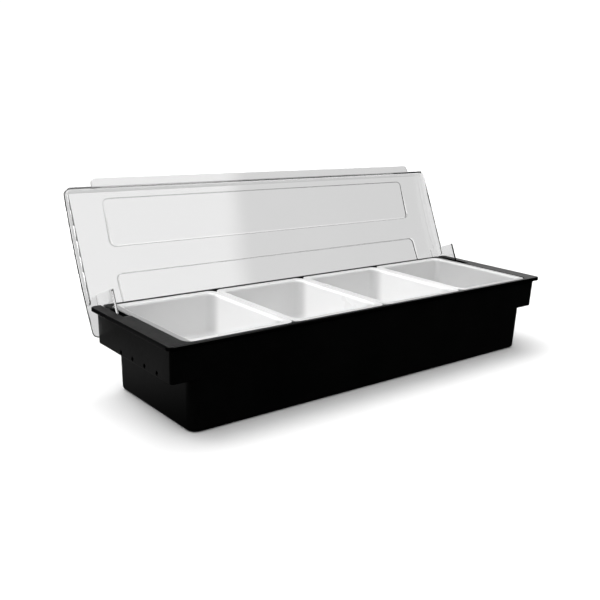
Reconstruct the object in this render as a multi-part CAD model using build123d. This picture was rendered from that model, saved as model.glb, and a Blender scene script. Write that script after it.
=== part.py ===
from build123d import *
import os
from math import sqrt

os.makedirs("parts", exist_ok=True)

# Condiment caddy: a long tray, four drop-in inserts and one clear flip lid.
# Millimetres. Origin at the middle of the tray's flat bottom, +Z up,
# X along the length, the open lid leans back towards +Y, the front is -Y.

# ---------------------------------------------------------------- tray
H = 85.0              # top of the rim
RIM_L = 502.4         # outer length over the rim
RIM_W = 150.0         # outer width over the rim
RIM_R = 5.0           # plan corner radius of the rim
LIP_T = 4.0           # thickness of the rim's outward lip
DRAFT = 0.023         # slope of the outer walls
SK_X = 246.5          # half length of the upper walls at the lip's underside
SK_Y = 70.27          # half width of the walls at the lip's underside
SK_R = 3.2            # corner radius of the upper walls
SK_BOTTOM = 49.4      # lower edge of the hollow ends
TUB_INSET = 19.0      # how far the tub's end wall is set in from the end skirt
TUB_R = 9.5           # vertical corner radius of the tub
TUB_FOOT_R = 4.0      # rounding of the tub's bottom edge
WALL = 2.3
FLOOR = 2.6
TUB_TOP_X = 229.3     # half length over the tub's end walls at the top
CEIL_Z = 81.2         # ceiling of the hollow ends
SEAT_X = 232.6        # seat for the insert flanges, half length
SEAT_Y = 70.9         # seat for the insert flanges, half width
SEAT_D = 1.5

# ---------------------------------------------------------------- inserts
INS_PITCH = 115.8
INS_L = 115.2         # flange, along X
INS_W = 139.6         # flange, along Y
INS_R = 9.0
INS_T = 1.5           # flange thickness
INS_WALL = 1.7
INS_BX = 51.6         # half size of the body under the flange
INS_BY = 63.6
INS_DX = 0.065        # slope of the body's end walls
INS_DY = 0.115        # slope of the front and back walls
INS_BOTTOM = 39.5     # underside of the floor
INS_SHIFT_X = -0.9    # how the set of inserts sits in the seat
INS_SHIFT_Y = -0.8

# ---------------------------------------------------------------- lid
LID_L = 501.0
LID_W = 147.4
LID_R = 5.6
LID_T = 2.0
LID_SAG = 4.45        # rise of the arch at mid width
LID_D = 8.5           # depth of the skirt
LID_TILT = 24.0       # the open lid leans this far back of upright
REAR_CUT = 31.6       # the side skirts stop this far from the rear edge
HINGE_Y = 60.6
HINGE_Z = 74.9
HINGE_S = 15.1        # the pivot in the lid: distance from the rear edge
HINGE_N = 18.75       # and depth below the panel's edge
EAR_X = 238.0         # middle of the ear plate
EAR_T = 2.5
EAR_S0, EAR_S1, EAR_S2 = 9.6, 39.8, 41.1   # lower edge, upper edge at the tip and at the panel
EAR_N = 38.0
STUD_R = 3.0
STUD_L = 5.5
BORE_R = 3.06
HANDLE_N = 6.3        # mid depth of the finger lip
HANDLE_T = 2.0
HANDLE_OUT = 8.7      # how far it stands out of the front edge
HANDLE_X0, HANDLE_X1 = 222.7, 222.2
EMB = 0.7             # depth of the embossed rectangles
EMB_SOFT = 0.6        # rounding of their upper edges
EMB_STEP = 0.4        # their outer edge lies this far out, and their inner edge this far in
EMB_X = 211.0
EMB_R = 6.0
EMB_UP = (88.2, 137.0)
EMB_LO = (10.1, 60.1)

# ---------------------------------------------------------------- hinge pocket
POCK_X0, POCK_X1 = 232.2, 240.4     # wide part of the pocket, in |x|
SLOT_X0 = 235.4                     # inner side of the narrow slot
POCK_Y0, POCK_Y1 = 29.2, 56.0
SLOT_Z = 62.0                       # bottom of the slot in the back wall
BLOCK_Y0, BLOCK_Y1, BLOCK_Z = 53.6, 69.0, 68.0
NOTCH_Y = (21.4, -0.8, -23.0, -45.1)   # small slots in the end skirt


def rrect(hx, hy, r, z, cx=0.0, cy=0.0):
    """Rounded rectangle of half size hx, hy at height z."""
    return Plane.XY.offset(z) * Pos(cx, cy) * RectangleRounded(2 * hx, 2 * hy, r)


def rloft(*faces):
    return loft(list(faces), ruled=True)


def block(x0, x1, y0, y1, z0, z1):
    return Pos((x0 + x1) / 2, (y0 + y1) / 2, (z0 + z1) / 2) * Box(x1 - x0, y1 - y0, z1 - z0)


def try_fillet(solid, edges, r, label):
    """Round the edges, or say so and leave them sharp."""
    edges = list(edges)
    try:
        out = fillet(edges, r)
        if out.is_valid and out.volume > 0:
            return out
    except Exception:
        pass
    print("fillet not made:", label, len(edges))
    return solid


def wall_y(z):
    """Outer half width of the front and back walls at height z."""
    return SK_Y - DRAFT * (H - LIP_T - z)


def wall_x(z):
    return SK_X - DRAFT * (H - LIP_T - z)


def tub_x(z):
    return wall_x(z) - TUB_INSET


# ================================================================= tray
Z_LIP = H - LIP_T

tub_outer = rloft(rrect(tub_x(0), wall_y(0), TUB_R, 0),
                  rrect(tub_x(Z_LIP + 1), wall_y(Z_LIP + 1), TUB_R, Z_LIP + 1))
foot = tub_outer.edges().filter_by(lambda e: abs(e.center().Z) < 0.01)
tub_outer = try_fillet(tub_outer, foot, TUB_FOOT_R, "tub foot")

skirt_outer = rloft(rrect(wall_x(SK_BOTTOM), wall_y(SK_BOTTOM), SK_R, SK_BOTTOM),
                    rrect(wall_x(Z_LIP + 1), wall_y(Z_LIP + 1), SK_R, Z_LIP + 1))
low = skirt_outer.edges().filter_by(lambda e: abs(e.center().Z - SK_BOTTOM) < 0.01)
skirt_outer = try_fillet(skirt_outer, low, 1.2, "skirt lower edge")

lip = extrude(rrect(RIM_L / 2, RIM_W / 2, RIM_R, Z_LIP), LIP_T)
lip = try_fillet(lip, lip.edges().filter_by(lambda e: abs(e.center().Z - H) < 0.01), 1.1, "rim top")
lip = try_fillet(lip, lip.edges().filter_by(lambda e: abs(e.center().Z - Z_LIP) < 0.01), 0.5, "rim underside")

tray = tub_outer + skirt_outer + lip

# a small inside radius where the lip meets the walls
root = [e for e in tray.edges()
        if abs(e.center().Z - Z_LIP) < 0.02 and abs(abs(e.center().X) - SK_X) < 3.4
        or abs(e.center().Z - Z_LIP) < 0.02 and abs(abs(e.center().Y) - SK_Y) < 0.05]
tray = try_fillet(tray, root, 0.9, "lip root")

# the hollow ends, open below
for sx in (-1, 1):
    def ring(z):
        # between the tub's end wall and the end skirt, at height z
        if z <= SK_BOTTOM:
            xa = tub_x(z)
        else:
            k = (z - SK_BOTTOM) / (CEIL_Z - SK_BOTTOM)
            xa = tub_x(SK_BOTTOM) + k * (TUB_TOP_X - tub_x(SK_BOTTOM))
        xb = wall_x(z) - WALL
        yb = wall_y(z) - WALL
        return rrect((xb - xa) / 2, yb, 1.6, z, sx * (xa + xb) / 2)
    cav = rloft(ring(SK_BOTTOM - 0.5), ring(CEIL_Z))
    cav = try_fillet(cav, cav.edges().filter_by(lambda e: abs(e.center().Z - CEIL_Z) < 0.01), 1.0, "hollow end")
    tray = tray - cav

# inside of the tub, widening above the hollow ends' lower edge
def inner(z):
    if z <= SK_BOTTOM:
        xi = tub_x(z) - WALL
    else:
        k = (z - SK_BOTTOM) / (CEIL_Z - SK_BOTTOM)
        xi = tub_x(SK_BOTTOM) - WALL + k * (TUB_TOP_X - tub_x(SK_BOTTOM))
    return rrect(xi, wall_y(z) - WALL, TUB_R - WALL, z)

well = rloft(inner(FLOOR), inner(SK_BOTTOM), inner(H - SEAT_D + 0.4))
well = try_fillet(well, well.edges().filter_by(lambda e: abs(e.center().Z - FLOOR) < 0.01), 3.4, "well floor")
tray = tray - well
seat = extrude(rrect(SEAT_X, SEAT_Y, INS_R + 0.6, H - SEAT_D), SEAT_D + 1)
tray = tray - seat

# blocks that carry the hinge bores, between the tub's end wall and the ears
for sx in (-1, 1):
    x0, x1 = 227.6, SLOT_X0
    b = block(min(sx * x0, sx * x1), max(sx * x0, sx * x1), BLOCK_Y0, BLOCK_Y1, BLOCK_Z, CEIL_Z + 0.6)
    low = [e for e in b.edges() if abs(e.center().Z - BLOCK_Z) < 0.01 and abs(e.center().Y - BLOCK_Y0) < 0.01]
    b = try_fillet(b, low, 5.0, "hinge block")
    tray = tray + b
    # pocket in the ledge, and the slot through the back wall and lip
    a0, a1 = sorted((sx * POCK_X0, sx * POCK_X1))
    pocket = block(a0, a1, POCK_Y0, POCK_Y1, CEIL_Z - 2.0, H + 1)
    pocket = try_fillet(pocket, [e for e in pocket.edges().filter_by(Axis.Z) if e.center().Y < POCK_Y0 + 0.1], 1.2, "pocket")
    s0, s1 = sorted((sx * SLOT_X0, sx * POCK_X1))
    slot = block(s0, s1, POCK_Y1 - 1, RIM_W / 2 + 4, SLOT_Z, H + 1)
    low = [e for e in slot.edges().filter_by(Axis.Y) if e.center().Z < SLOT_Z + 0.1]
    slot = try_fillet(slot, low, 1.5, "slot")
    tray = tray - pocket - slot
    # shallow chamfer at the front of the pocket
    wedge = Plane.YZ * make_face(Polyline((24.0, H), (POCK_Y0 + 0.3, H - 1.0), (POCK_Y0 + 0.3, H + 0.5),
                                          (24.0, H + 0.5), (24.0, H)))
    wedge = Pos(a0, 0, 0) * extrude(wedge, a1 - a0)
    tray = tray - wedge
    # blind bore for the ear's stud, open towards the end of the tray
    bore = Pos(sx * SLOT_X0, HINGE_Y, HINGE_Z) * Rot(0, -sx * 90, 0) * Cylinder(
        BORE_R, STUD_L + 0.2, align=(Align.CENTER, Align.CENTER, Align.MIN))
    tray = tray - bore
    # small slanted slots low in the end skirt
    for ny in NOTCH_Y:
        n = Pos(sx * (SK_X - 1.5), ny, 53.2) * Rot(26, 0, 0) * Box(6, 3.5, 4.2)
        n = try_fillet(n, n.edges().filter_by(Axis.X), 0.6, "end slot")
        tray = tray - n

# ================================================================= inserts
def insert_solid():
    zt = H - INS_T
    def body(z, off=0.0, r=10.0):
        d = zt - z
        return rrect(INS_BX - off - INS_DX * d, INS_BY - off - INS_DY * d, r, z)
    outer = rloft(body(INS_BOTTOM, 0, 9.0), body(zt + 0.5, 0, 9.0))
    outer = try_fillet(outer, outer.edges().filter_by(lambda e: abs(e.center().Z - INS_BOTTOM) < 0.01), 7.5, "insert foot")
    flange = extrude(rrect(INS_L / 2, INS_W / 2, INS_R, zt), INS_T)
    flange = try_fillet(flange, flange.edges().filter_by(lambda e: abs(e.center().Z - H) < 0.01), 0.5, "flange edge")
    s = outer + flange
    root = [e for e in s.edges() if abs(e.center().Z - zt) < 0.02 and
            (abs(abs(e.center().X) - INS_BX) < 0.05 or abs(abs(e.center().Y) - INS_BY) < 0.05
             or (abs(e.center().X) < INS_BX and abs(e.center().Y) < INS_BY))]
    s = try_fillet(s, root, 0.7, "flange root")
    hollow = rloft(body(INS_BOTTOM + INS_WALL + 0.3, INS_WALL, 7.3), body(H + 2, INS_WALL, 7.3))
    hollow = try_fillet(hollow, hollow.edges().filter_by(lambda e: abs(e.center().Z - INS_BOTTOM - INS_WALL - 0.3) < 0.01),
                        6.2, "insert floor")
    s = s - hollow
    mouth = [e for e in s.edges() if abs(e.center().Z - H) < 0.02 and abs(e.center().X) < INS_BX + 0.5
             and abs(e.center().Y) < INS_BY + 0.5]
    s = try_fillet(s, mouth, 3.2, "insert mouth")
    return s


one = insert_solid()
inserts = []
for i in range(4):
    inserts.append(Pos(INS_SHIFT_X + (i - 1.5) * INS_PITCH, INS_SHIFT_Y, 0) * one)

# ================================================================= lid
# Built lying in its own axes: X along the length, s from the rear edge,
# n down from the panel's edge. Local Y is s, local Z is -n.
RAD = ((LID_W / 2) ** 2 + LID_SAG ** 2) / (2 * LID_SAG)


def arch(off, hx, s0, s1, depth):
    """Solid under an arched top that lies 'off' below the panel's outer face."""
    r = RAD - off
    zc = LID_SAG - RAD                    # height of the arch's axis
    def top(s):
        return zc + sqrt(r * r - (s - LID_W / 2) ** 2)
    sm = (s0 + s1) / 2
    prof = make_face([Line((s0, -depth), (s0, top(s0))),
                      ThreePointArc((s0, top(s0)), (sm, top(sm)), (s1, top(s1))),
                      Line((s1, top(s1)), (s1, -depth)),
                      Line((s1, -depth), (s0, -depth))])
    return Pos(-hx, 0, 0) * extrude(Plane.YZ * prof, 2 * hx)


def plan(hx, s0, s1, r, z0, z1):
    return extrude(rrect(hx, (s1 - s0) / 2, r, z0, 0, (s0 + s1) / 2), z1 - z0)


shell_out = arch(0, LID_L / 2 + 1, -1, LID_W + 1, LID_D) & plan(LID_L / 2, 0, LID_W, LID_R, -LID_D, 12)
top_edges = [e for e in shell_out.edges()
             if e.center().Z > -0.6 and (e.length > 60 or e.length < 12)
             and not (abs(e.bounding_box().min.Z + LID_D) < 0.05)]
shell_out = try_fillet(shell_out, top_edges, 3.0, "lid outer edge")
shell_in = arch(LID_T, LID_L / 2 + 1, -1, LID_W + 1, LID_D + 3) & plan(
    LID_L / 2 - LID_T, LID_T, LID_W - LID_T, LID_R - LID_T, -LID_D - 3, 12)
top_edges = [e for e in shell_in.edges()
             if e.center().Z > -LID_T - 1.2 and (e.length > 60 or e.length < 12)
             and not (abs(e.bounding_box().min.Z + LID_D + 3) < 0.05)]
shell_in = try_fillet(shell_in, top_edges, 3.2, "lid inner edge")
lid = shell_out - shell_in
# no skirt along the rear edge and the rear ends of the sides
lid = lid - (arch(LID_T, LID_L / 2 + 1, -1, REAR_CUT, LID_D + 3))
ends = [e for e in lid.edges().filter_by(Axis.X)
        if abs(e.center().Y - REAR_CUT) < 0.02 and abs(e.center().Z + LID_D) < 0.02]
lid = try_fillet(lid, ends, 3.0, "skirt end")

def top_rim(solid):
    """Edges around the arched top face."""
    top = max(solid.faces(), key=lambda f: f.area * (1 if f.normal_at(f.center()).Z > 0.5 else 0))
    return top.edges()


# embossed rectangles, standing out of the outer face and hollow inside
for (s0, s1) in (EMB_UP, EMB_LO):
    up = (arch(-EMB, EMB_X + 2, s0 - 2, s1 + 2, -0.3)
          & plan(EMB_X + EMB_STEP, s0 - EMB_STEP, s1 + EMB_STEP, EMB_R + EMB_STEP, -1, 12))
    up = try_fillet(up, top_rim(up), EMB_SOFT, "embossing, outside")
    lid = lid + up
for (s0, s1) in (EMB_UP, EMB_LO):
    dn = (arch(LID_T - EMB, EMB_X + 1, s0 - 1, s1 + 1, 4.0)
          & plan(EMB_X - EMB_STEP, s0 + EMB_STEP, s1 - EMB_STEP, EMB_R - EMB_STEP, -4, 12))
    dn = try_fillet(dn, top_rim(dn), EMB_SOFT, "embossing, inside")
    lid = lid - dn

# finger lip along the front edge
hp = make_face(Polyline((-HANDLE_X0, LID_W - 1.2), (HANDLE_X0, LID_W - 1.2), (HANDLE_X0, LID_W + 0.6),
                        (HANDLE_X1, LID_W + HANDLE_OUT), (-HANDLE_X1, LID_W + HANDLE_OUT),
                        (-HANDLE_X0, LID_W + 0.6), (-HANDLE_X0, LID_W - 1.2)))
grip = Pos(0, 0, -HANDLE_N - HANDLE_T / 2) * extrude(hp, HANDLE_T)
tips = [e for e in grip.edges().filter_by(Axis.Z) if e.center().Y > LID_W + 1]
grip = try_fillet(grip, tips, 5.0, "finger lip corners")
rims = [e for e in grip.edges() if e.center().Y > LID_W + 0.9 and abs(e.center().Z + HANDLE_N) > HANDLE_T / 2 - 0.01]
grip = try_fillet(grip, rims, 0.7, "finger lip edges")
lid = lid + grip

# ears with their studs
for sx in (-1, 1):
    x0, x1 = sorted((sx * (EAR_X - EAR_T / 2), sx * (EAR_X + EAR_T / 2)))
    side = make_face(Polyline((EAR_S0, -0.6), (EAR_S2, -0.6), (EAR_S1, -EAR_N), (EAR_S0, -EAR_N), (EAR_S0, -0.6)))
    ear = Pos(x0, 0, 0) * extrude(Plane.YZ * side, x1 - x0)
    ear = try_fillet(ear, [e for e in ear.edges().filter_by(Axis.X) if e.center().Z < -EAR_N + 0.1], 0.9, "ear corners")
    lid = lid + ear
    stud = Pos(sx * (EAR_X - EAR_T / 2 + 0.4), HINGE_S, -HINGE_N) * Rot(0, -sx * 90, 0) * Cylinder(
        STUD_R, STUD_L + 0.4, align=(Align.CENTER, Align.CENTER, Align.MIN))
    stud = try_fillet(stud, stud.edges().filter_by(lambda e: abs(e.center().X) < EAR_X - EAR_T / 2 - STUD_L + 0.2), 0.8, "stud tip")
    lid = lid + stud

# place the lid: closed first, then swung back about the hinge
# local (X, s, -n) -> closed pose: y = HINGE_Y + HINGE_S - s, z = HINGE_Z + HINGE_N - n
closed = Pos(0, HINGE_Y + HINGE_S, HINGE_Z + HINGE_N) * Rot(0, 0, 180) * lid
OPEN_ANGLE = 90.0 + LID_TILT
lid_open = Pos(0, HINGE_Y, HINGE_Z) * Rot(-OPEN_ANGLE, 0, 0) * Pos(0, -HINGE_Y, -HINGE_Z) * closed

# ================================================================= write
def out(solid, name):
    s = solid.solids()
    if len(s) != 1:
        print("WARNING", name, "has", len(s), "solids")
    sol = s[0] if len(s) == 1 else solid
    sol.label = name
    export_step(sol, "parts/" + name + ".step")


out(tray, "tray")
for i, s in enumerate(inserts):
    out(s, "insert_%d" % (i + 1))
out(lid_open, "lid")
bb = lid_open.bounding_box()
print("lid box", bb)
print("open angle", OPEN_ANGLE)
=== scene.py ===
import math

import bpy
from mathutils import Matrix, Vector

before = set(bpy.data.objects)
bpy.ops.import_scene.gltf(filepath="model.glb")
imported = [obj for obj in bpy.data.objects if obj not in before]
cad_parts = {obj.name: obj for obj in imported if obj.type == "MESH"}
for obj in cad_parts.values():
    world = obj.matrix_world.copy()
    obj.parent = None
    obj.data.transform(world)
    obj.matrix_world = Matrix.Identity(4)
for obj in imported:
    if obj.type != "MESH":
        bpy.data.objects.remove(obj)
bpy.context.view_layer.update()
scene = bpy.context.scene
scene.view_settings.view_transform = "Standard"
scene.view_settings.look = "None"
scene.view_settings.exposure = 0.0
scene.view_settings.gamma = 1.0
scene.cycles.transparent_max_bounces = 24
scene.cycles.transmission_bounces = 16
scene.cycles.max_bounces = 20
scene.cycles.caustics_reflective = False
scene.cycles.caustics_refractive = False

LID_DENSITY = 36.0     # how strongly the lid's plastic takes light, per metre
THRU_SKY = 0.62        # the backdrop as seen through the clear plastic
THRU_FLOOR = 0.729      # the floor as seen through the clear plastic
INNER_SKY = 0.5       # the room as the plastic's own inner reflections see it
INNER_FLOOR = 1.32     # and the floor
INNER_DARK = (40.0, 14.0, 25.0, 0.75)
FLOOR_WHITE = 0.815

WALL_PAINTED_LIGHT, WALL_PAINTED_SHADE_LEFT, WALL_PAINTED_SHADE_RIGHT = 0.98, 0.65, 0.63   # the inserts' walls: painted light where two stand back to back, painted shade where they stand against the tray
FLANGE_PAINTED_SHADE_BETWEEN = 0.64                             # their flanges, with painted shade from the black rim: between two inserts, along the front, from left to right, and at the two ends and the back
FLANGE_PAINTED_SHADE_FRONT = (0.63, 0.33)                      # along the front, from left to right,
FLANGE_PAINTED_SHADE_LEFT, FLANGE_PAINTED_SHADE_RIGHT, FLANGE_PAINTED_SHADE_BACK = 0.27, 0.29, 0.58   # and at the two ends and the back

# ------------------------------------------------------------------ camera
AZ, EL, ROLL = math.radians(39.12), math.radians(14.54), math.radians(-1.97)
ca, sa, ce, se = math.cos(AZ), math.sin(AZ), math.cos(EL), math.sin(EL)
fwd = Vector((sa * ce, ca * ce, -se))
right = Vector((ca, -sa, 0.0))
down = -right.cross(fwd)
cr, sr = math.cos(ROLL), math.sin(ROLL)
r2 = cr * right + sr * down
d2 = -sr * right + cr * down
cam_data = bpy.data.cameras.new("camera")
cam_data.sensor_width = 36.0
cam_data.lens = 786.4 / 600.0 * 36.0
cam_data.clip_start = 0.05
cam_data.clip_end = 100.0
cam = bpy.data.objects.new("camera", cam_data)
scene.collection.objects.link(cam)
m = Matrix((r2, -d2, -fwd)).transposed().to_4x4()
m.translation = Vector((-0.5495, -0.6073, 0.2844))
cam.matrix_world = m
scene.camera = cam


# ------------------------------------------------------------------ node helpers
class Nodes:
    def __init__(self, tree):
        self.t = tree
        tree.nodes.clear()

    def new(self, kind, **props):
        n = self.t.nodes.new(kind)
        for k, v in props.items():
            setattr(n, k, v)
        return n

    def link(self, a, b):
        self.t.links.new(a, b)

    def math(self, op, a, b=0.0, clamp=False):
        n = self.new("ShaderNodeMath", operation=op, use_clamp=clamp)
        for i, v in enumerate((a, b)):
            if isinstance(v, (int, float)):
                n.inputs[i].default_value = v
            else:
                self.link(v, n.inputs[i])
        return n.outputs[0]

    def noise(self, vec, scale, detail=2.0, rough=0.5, distortion=0.0):
        n = self.new("ShaderNodeTexNoise")
        n.inputs["Scale"].default_value = scale
        n.inputs["Detail"].default_value = detail
        n.inputs["Roughness"].default_value = rough
        n.inputs["Distortion"].default_value = distortion
        self.link(vec, n.inputs["Vector"])
        return n.outputs["Fac"]

    def remap(self, v, a, b, c, d):
        n = self.new("ShaderNodeMapRange")
        n.inputs["From Min"].default_value = a
        n.inputs["From Max"].default_value = b
        n.inputs["To Min"].default_value = c
        n.inputs["To Max"].default_value = d
        self.link(v, n.inputs["Value"])
        return n.outputs["Result"]

    def smooth(self, v, a, b):
        """0 at a, 1 at b, with a soft start and end."""
        n = self.new("ShaderNodeMapRange", interpolation_type="SMOOTHSTEP")
        n.inputs["From Min"].default_value = a
        n.inputs["From Max"].default_value = b
        self.link(v, n.inputs["Value"])
        return n.outputs["Result"]

    def mix_rgb(self, fac, c1, c2):
        n = self.new("ShaderNodeMix", data_type="RGBA")
        if isinstance(fac, (int, float)):
            n.inputs["Factor"].default_value = fac
        else:
            self.link(fac, n.inputs["Factor"])
        for sock, c in ((n.inputs[6], c1), (n.inputs[7], c2)):
            if isinstance(c, (tuple, list)):
                sock.default_value = (*c, 1.0) if len(c) == 3 else c
            else:
                self.link(c, sock)
        return n.outputs[2]

    def bump(self, height, strength, distance, normal=None):
        n = self.new("ShaderNodeBump")
        n.inputs["Strength"].default_value = strength
        n.inputs["Distance"].default_value = distance
        self.link(height, n.inputs["Height"])
        if normal is not None:
            self.link(normal, n.inputs["Normal"])
        return n.outputs["Normal"]

    def stretched(self, vec, scale):
        n = self.new("ShaderNodeMapping")
        n.inputs["Scale"].default_value = scale
        self.link(vec, n.inputs["Vector"])
        return n.outputs["Vector"]


def material(name):
    mat = bpy.data.materials.new(name)
    mat.use_nodes = True
    return mat, Nodes(mat.node_tree)


# ------------------------------------------------------------------ black tray plastic
def tray_material():
    mat, n = material("tray_black")
    out = n.new("ShaderNodeOutputMaterial")
    p = n.new("ShaderNodeBsdfPrincipled")
    n.link(p.outputs[0], out.inputs["Surface"])
    co = n.new("ShaderNodeTexCoord").outputs["Object"]
    sep = n.new("ShaderNodeSeparateXYZ")
    n.link(co, sep.inputs[0])
    # the rolled lip is smooth, the broad faces have a fine moulded texture
    ax = n.math("ABSOLUTE", sep.outputs["X"])
    ay = n.math("ABSOLUTE", sep.outputs["Y"])
    lip = n.math("MAXIMUM", n.remap(ax, 0.2502, 0.2508, 0.0, 1.0), n.remap(ay, 0.0737, 0.0743, 0.0, 1.0))
    lip = n.math("MULTIPLY", lip, n.remap(sep.outputs["Z"], 0.0800, 0.0808, 0.0, 1.0))
    cloud = n.noise(co, 22.0, 4.0, 0.6)
    grain = n.noise(co, 1500.0, 2.0, 0.55)
    mottled = n.noise(co, 240.0, 3.0, 0.6)
    n.link(n.mix_rgb(n.remap(cloud, 0.3, 0.7, 0.0, 1.0), (0.0003, 0.0003, 0.0003), (0.0007, 0.0007, 0.0007)),
           p.inputs["Base Color"])
    rough = n.math("ADD", n.remap(cloud, 0.3, 0.7, 0.34, 0.40), n.remap(mottled, 0.3, 0.7, -0.03, 0.03))
    # faint rub marks along the length
    rub = n.noise(n.stretched(co, (6.0, 90.0, 90.0)), 5.0, 5.0, 0.65)
    rough = n.math("SUBTRACT", rough, n.remap(rub, 0.62, 0.78, 0.0, 0.06))
    rough = n.math("ADD", n.math("MULTIPLY", rough, n.math("SUBTRACT", 1.0, lip)), n.math("MULTIPLY", lip, 0.16))
    n.link(rough, p.inputs["Roughness"])
    p.inputs["Specular IOR Level"].default_value = 0.15
    p.inputs["IOR"].default_value = 1.49
    wav = n.noise(co, 14.0, 1.0, 0.4)
    b = n.bump(wav, 0.25, 0.0012)
    b = n.bump(n.math("MULTIPLY", grain, n.math("SUBTRACT", 1.0, lip)), 0.30, 0.00012, b)
    n.link(b, p.inputs["Normal"])
    return mat


# ------------------------------------------------------------------ white insert plastic
def insert_material():
    mat, n = material("insert_white")
    out = n.new("ShaderNodeOutputMaterial")
    p = n.new("ShaderNodeBsdfPrincipled")
    n.link(p.outputs[0], out.inputs["Surface"])
    co = n.new("ShaderNodeTexCoord").outputs["Object"]
    cloud = n.noise(co, 18.0, 3.0, 0.55)
    fine = n.noise(co, 900.0, 2.0, 0.5)
    # the white plastic lets a little light through, and this is painted into the base colour: where two inserts' walls
    # stand back to back a painted light makes it bright, and where the black tray stands behind a painted shade makes
    # it greyer
    sep = n.new("ShaderNodeSeparateXYZ")
    n.link(co, sep.inputs[0])
    near = None
    for xb in (-0.1167, -0.0009, 0.1149):
        d = n.math("ABSOLUTE", n.math("SUBTRACT", sep.outputs["X"], xb))
        near = d if near is None else n.math("MINIMUM", near, d)
    # (the walls lean in towards the floor, and round their corners the inserts stand apart)
    down = n.math("SUBTRACT", 0.0835, sep.outputs["Z"])
    painted_backlight = n.smooth(n.math("SUBTRACT", near, n.math("MULTIPLY", down, 0.065)), 0.0140, 0.0084)
    lean = n.math("MULTIPLY", down, 0.115)
    back = n.math("SUBTRACT", n.math("SUBTRACT", 0.0611, lean), sep.outputs["Y"])
    front = n.math("SUBTRACT", n.math("ADD", sep.outputs["Y"], 0.0627), lean)
    painted_backlight = n.math("MULTIPLY", painted_backlight, n.smooth(n.math("MINIMUM", back, front), 0.001, 0.019))
    painted_shade_grey = n.remap(sep.outputs["X"], -0.23, 0.23, WALL_PAINTED_SHADE_LEFT, WALL_PAINTED_SHADE_RIGHT)
    shade = n.math("ADD", n.math("MULTIPLY", painted_shade_grey, n.math("SUBTRACT", 1.0, painted_backlight)), n.math("MULTIPLY", painted_backlight, WALL_PAINTED_LIGHT))
    # the thin flanges lie on the black rim, and the darkness it lets through, more than through the walls, is painted
    # into their colour as painted shade
    def over(base, top, fac):
        m = n.new("ShaderNodeMix", data_type="FLOAT")
        for i, v in ((0, fac), (2, base), (3, top)):
            if isinstance(v, (int, float)):
                m.inputs[i].default_value = v
            else:
                n.link(v, m.inputs[i])
        return m.outputs[0]
    x, y, z = sep.outputs["X"], sep.outputs["Y"], sep.outputs["Z"]
    front = n.remap(x, -0.23, 0.23, *FLANGE_PAINTED_SHADE_FRONT)
    between = n.smooth(near, 0.0125, 0.0075)
    flange = over(FLANGE_PAINTED_SHADE_BACK, FLANGE_PAINTED_SHADE_BETWEEN, between)
    flange = over(flange, over(front, FLANGE_PAINTED_SHADE_BETWEEN, n.math("MULTIPLY", between, 0.4)), n.smooth(y, -0.0640, -0.0660))
    flange = over(flange, FLANGE_PAINTED_SHADE_LEFT, n.smooth(x, -0.2262, -0.2280))
    flange = over(flange, FLANGE_PAINTED_SHADE_RIGHT, n.smooth(x, 0.2244, 0.2262))
    shade = over(shade, flange, n.smooth(z, 0.0845, 0.08496))
    shade = n.math("ADD", shade, n.remap(cloud, 0.3, 0.7, -0.012, 0.012))
    rgb = n.new("ShaderNodeCombineColor")
    for i in range(3):
        n.link(shade, rgb.inputs[i])
    n.link(rgb.outputs[0], p.inputs["Base Color"])
    n.link(n.remap(cloud, 0.3, 0.7, 0.27, 0.33), p.inputs["Roughness"])
    p.inputs["IOR"].default_value = 1.49
    b = n.bump(n.noise(co, 30.0, 1.0, 0.4), 0.12, 0.0008)
    b = n.bump(fine, 0.12, 0.0001, b)
    n.link(b, p.inputs["Normal"])
    return mat


# ------------------------------------------------------------------ clear lid plastic
def lid_material():
    mat, n = material("lid_clear")
    out = n.new("ShaderNodeOutputMaterial")
    p = n.new("ShaderNodeBsdfPrincipled")
    co = n.new("ShaderNodeTexCoord").outputs["Object"]
    cloud = n.noise(co, 12.0, 3.0, 0.5)
    n.link(n.mix_rgb(n.remap(cloud, 0.3, 0.7, 0.0, 1.0), (0.982, 0.982, 0.982), (0.995, 0.995, 0.995)),
           p.inputs["Base Color"])
    p.inputs["Transmission Weight"].default_value = 1.0
    p.inputs["IOR"].default_value = 1.49
    # hair scratches from wiping, mostly along the length
    s1 = n.noise(n.stretched(co, (1.2, 60.0, 60.0)), 22.0, 3.0, 0.6)
    s2 = n.noise(n.stretched(co, (30.0, 2.0, 2.0)), 30.0, 3.0, 0.6)
    haze = n.math("ADD", n.remap(s1, 0.62, 0.75, 0.0, 0.02), n.remap(s2, 0.66, 0.78, 0.0, 0.015))
    n.link(n.math("ADD", haze, 0.005), p.inputs["Roughness"])
    b = n.bump(n.noise(co, 9.0, 2.0, 0.5), 0.10, 0.0015)
    n.link(b, p.inputs["Normal"])
    clear = n.new("ShaderNodeBsdfTransparent")
    clear.inputs["Color"].default_value = (0.95, 0.95, 0.95, 1.0)
    path = n.new("ShaderNodeLightPath")
    mix = n.new("ShaderNodeMixShader")
    # soft light that falls on the white inserts and the floor goes straight through
    n.link(n.math("MAXIMUM", path.outputs["Is Shadow Ray"], path.outputs["Is Diffuse Ray"]), mix.inputs[0])
    n.link(p.outputs[0], mix.inputs[1])
    n.link(clear.outputs[0], mix.inputs[2])
    n.link(mix.outputs[0], out.inputs["Surface"])
    # the tint sits in the depth of the plastic, so long ways through it read darker
    v = n.new("ShaderNodeVolumeAbsorption")
    v.inputs["Color"].default_value = (0.50, 0.50, 0.50, 1.0)
    v.inputs["Density"].default_value = LID_DENSITY
    n.link(v.outputs[0], out.inputs["Volume"])
    return mat


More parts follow.
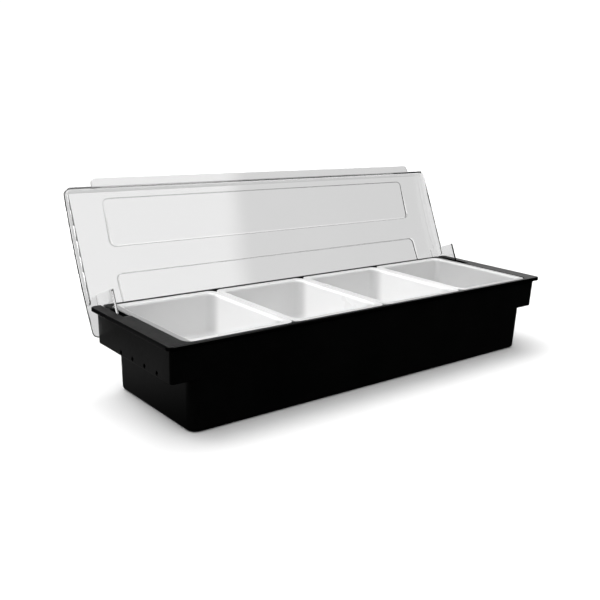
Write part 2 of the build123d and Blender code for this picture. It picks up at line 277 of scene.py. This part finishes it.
mats = {"tray": tray_material(), "lid": lid_material()}
white = insert_material()
for i in range(1, 5):
    mats["insert_%d" % i] = white
for name, mat in mats.items():
    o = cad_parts[name]
    if not o.material_slots:
        o.data.materials.append(mat)
    for s in o.material_slots:
        s.material = mat

# ------------------------------------------------------------------ what is seen straight on, or through clear plastic
def rays(n):
    """Sockets that are 1 for rays that were never scattered, that crossed clear plastic, and that were mirrored."""
    path = n.new("ShaderNodeLightPath")
    unscattered = n.math("LESS_THAN", path.outputs["Diffuse Depth"], 0.5)
    crossed = n.math("GREATER_THAN", path.outputs["Transmission Depth"], 0.5)
    mirrored = n.math("GREATER_THAN", path.outputs["Glossy Depth"], 0.5)
    return unscattered, crossed, mirrored


def mix_shader(n, fac, a, b):
    m = n.new("ShaderNodeMixShader")
    n.link(fac, m.inputs[0])
    n.link(a, m.inputs[1])
    n.link(b, m.inputs[2])
    return m.outputs[0]


def straight(n, unscattered, crossed, mirrored):
    """1 for rays seen directly, or only by way of clear plastic."""
    clean = n.math("MAXIMUM", n.math("SUBTRACT", 1.0, mirrored), crossed)
    return n.math("MULTIPLY", unscattered, clean)


# ------------------------------------------------------------------ floor
# (x, y, spread x, spread y, strength): light that the pale floor sends back
FLOOR_GLOW = {
    "left_near": (-0.31, -0.10, 0.05, 0.09, 0),
    "left_back": (-0.31, 0.08, 0.05, 0.07, 0.2297),
    "left_far": (-0.46, 0.05, 0.08, 0.20, 0),
    "back_left": (-0.33, 0.28, 0.10, 0.09, 0),
    "front_near": (0.0, -0.17, 0.22, 0.06, 0),
    "front_far": (0.1, -0.50, 0.35, 0.18, 0),
    "right_front": (0.42, -0.25, 0.12, 0.12, 0),
    "right_near": (0.36, 0.05, 0.07, 0.15, 0),
    "back_near": (0.0, 0.22, 0.22, 0.08, 0.5072),
}
bpy.ops.mesh.primitive_plane_add(size=60.0, location=(0, 0, 0))
floor = bpy.context.object
floor.name = "floor"
mat, n = material("floor_white")
mat.cycles.emission_sampling = "NONE"
out = n.new("ShaderNodeOutputMaterial")
plain = n.new("ShaderNodeBsdfDiffuse")
plain.inputs["Color"].default_value = (FLOOR_WHITE, FLOOR_WHITE, FLOOR_WHITE, 1.0)
behind = n.new("ShaderNodeEmission")
behind.name = "thru_floor"
behind.inputs["Strength"].default_value = THRU_FLOOR
inner = n.new("ShaderNodeEmission")
inner.name = "inner_floor"
inner.inputs["Strength"].default_value = INNER_FLOOR
unscattered, crossed, mirrored = rays(n)
seen = mix_shader(n, crossed, plain.outputs[0], mix_shader(n, mirrored, behind.outputs[0], inner.outputs[0]))
co = n.new("ShaderNodeTexCoord").outputs["Object"]
sep = n.new("ShaderNodeSeparateXYZ")
n.link(co, sep.inputs[0])
total = None
for name, (gx, gy, sx, sy, k) in FLOOR_GLOW.items():
    dx = n.math("MULTIPLY", n.math("SUBTRACT", sep.outputs["X"], gx), 1.0 / sx)
    dy = n.math("MULTIPLY", n.math("SUBTRACT", sep.outputs["Y"], gy), 1.0 / sy)
    d2 = n.math("ADD", n.math("MULTIPLY", dx, dx), n.math("MULTIPLY", dy, dy))
    g = n.math("MULTIPLY", n.math("EXPONENT", n.math("MULTIPLY", d2, -0.5)), k)
    g.node.name = "glow_" + name
    total = g if total is None else n.math("ADD", total, g)
glow = n.new("ShaderNodeEmission")
n.link(total, glow.inputs["Strength"])
n.link(mix_shader(n, straight(n, unscattered, crossed, mirrored), glow.outputs[0], seen), out.inputs["Surface"])
floor.data.materials.append(mat)

# ------------------------------------------------------------------ world: a studio made of soft patches of light
# (azimuth from the back towards the right, elevation, tightness, strength)
SKY = {
    "left": (-90, 15, 14.0, 1.53),
    "left_high": (-90, 50, 14.0, 0),
    "left_front": (-135, 30, 14.0, 1.301),
    "front": (180, 30, 14.0, 0.9016),
    "right_front": (135, 30, 14.0, 0),
    "right": (90, 15, 14.0, 0),
    "right_high": (90, 50, 14.0, 0),
    "zenith": (0, 90, 14.0, 1.929),
    "back_left": (-45, 12, 25.0, 0),
    "back": (0, 12, 25.0, 0),
    "back_lid": (27, 14, 45.0, 0),
    "back_right": (52, 10, 40.0, 1.3),
    "back_high": (0, 45, 14.0, 0.8454),
    "back_right_high": (45, 40, 20.0, 0),
    "back_left_high": (-45, 45, 14.0, 0),
    "back_steep": (0, 64, 40.0, 3.695),
    "back_left_steep": (-50, 64, 40.0, 8.004),
    "back_right_steep": (50, 64, 40.0, 5.235),
    "left_steep": (-100, 66, 40.0, 2.831),
    "right_steep": (100, 66, 40.0, 0),
    "front_steep": (180, 66, 40.0, 0),
    "overhead": (0, 90, 60.0, 2.205),
}
WINDOW = 3.865
WINDOW_SOFT = 0.9395
WINDOW_EDGES = (("X", 0.572, 0.542), ("X", 0.28, 0.36), ("Y", -0.20, -0.45), ("Z", 0.06, 0.20), ("Z", 0.86, 0.74))
world = bpy.data.worlds.new("studio")
scene.world = world
world.use_nodes = True
n = Nodes(world.node_tree)
out = n.new("ShaderNodeOutputWorld")
co = n.new("ShaderNodeTexCoord").outputs["Generated"]
total = None
for name, (az, el, k, strength) in SKY.items():
    az, el = math.radians(az), math.radians(el)
    dot = n.new("ShaderNodeVectorMath", operation="DOT_PRODUCT")
    n.link(co, dot.inputs[0])
    dot.inputs[1].default_value = (math.sin(az) * math.cos(el), math.cos(az) * math.cos(el), math.sin(el))
    g = n.math("EXPONENT", n.math("MULTIPLY", n.math("SUBTRACT", dot.outputs["Value"], 1.0), k))
    g = n.math("MULTIPLY", g, strength)
    g.node.name = "sky_" + name
    total = g if total is None else n.math("ADD", total, g)
# a large soft window at the front right, whose edge shows in the lid as a soft upright line
sep = n.new("ShaderNodeSeparateXYZ")
n.link(co, sep.inputs[0])
g = None
for axis, a, b in WINDOW_EDGES:
    e = n.smooth(sep.outputs[axis], a, b)
    g = e if g is None else n.math("MULTIPLY", g, e)
# as the lid and the tray mirror it, and as its soft light falls on the floor and the inserts
unscattered, crossed, mirrored = rays(n)
gm = n.math("MULTIPLY", n.math("MULTIPLY", g, unscattered), WINDOW)
gm.node.name = "sky_window"
gs = n.math("MULTIPLY", n.math("MULTIPLY", g, n.math("SUBTRACT", 1.0, unscattered)), WINDOW_SOFT)
gs.node.name = "sky_window_soft"
total = n.math("ADD", total, n.math("ADD", gm, gs))
bg_light = n.new("ShaderNodeBackground")
bg_light.inputs["Color"].default_value = (1.0, 1.0, 1.0, 1.0)
n.link(total, bg_light.inputs["Strength"])
bg_seen = n.new("ShaderNodeBackground")
bg_seen.inputs["Color"].default_value = (1.0, 1.0, 1.0, 1.0)
bg_seen.inputs["Strength"].default_value = 1.05
bg_thru = n.new("ShaderNodeBackground")
bg_thru.name = "thru_sky"
bg_thru.inputs["Color"].default_value = (1.0, 1.0, 1.0, 1.0)
bg_thru.inputs["Strength"].default_value = THRU_SKY
# light that is turned about inside the clear plastic, or mirrored and then seen through it: darker towards the back right
az, el, k, depth = INNER_DARK
az, el = math.radians(az), math.radians(el)
dot = n.new("ShaderNodeVectorMath", operation="DOT_PRODUCT")
n.link(co, dot.inputs[0])
dot.inputs[1].default_value = (math.sin(az) * math.cos(el), math.cos(az) * math.cos(el), math.sin(el))
g = n.math("EXPONENT", n.math("MULTIPLY", n.math("SUBTRACT", dot.outputs["Value"], 1.0), k))
g = n.math("MULTIPLY", n.math("SUBTRACT", 1.0, n.math("MULTIPLY", g, depth)), INNER_SKY)
g.node.name = "inner_sky"
bg_inner = n.new("ShaderNodeBackground")
bg_inner.inputs["Color"].default_value = (1.0, 1.0, 1.0, 1.0)
n.link(g, bg_inner.inputs["Strength"])
seen = mix_shader(n, crossed, bg_seen.outputs[0], mix_shader(n, mirrored, bg_thru.outputs[0], bg_inner.outputs[0]))
n.link(mix_shader(n, straight(n, unscattered, crossed, mirrored), bg_light.outputs[0], seen), out.inputs["Surface"])


# ------------------------------------------------------------------ lamps
def softbox(name, where, aim, w, h, radiance):
    data = bpy.data.lights.new(name, "AREA")
    data.shape = "RECTANGLE"
    data.size, data.size_y = w, h
    data.energy = radiance * math.pi * w * h
    o = bpy.data.objects.new(name, data)
    scene.collection.objects.link(o)
    o.location = where
    o.rotation_mode = "QUATERNION"
    o.rotation_quaternion = (Vector(aim) - Vector(where)).to_track_quat("-Z", "Y")
    return o


softbox("key_left", (-1.7, -0.1, 1.15), (0, 0, 0.05), 1.2, 1.2, 0)
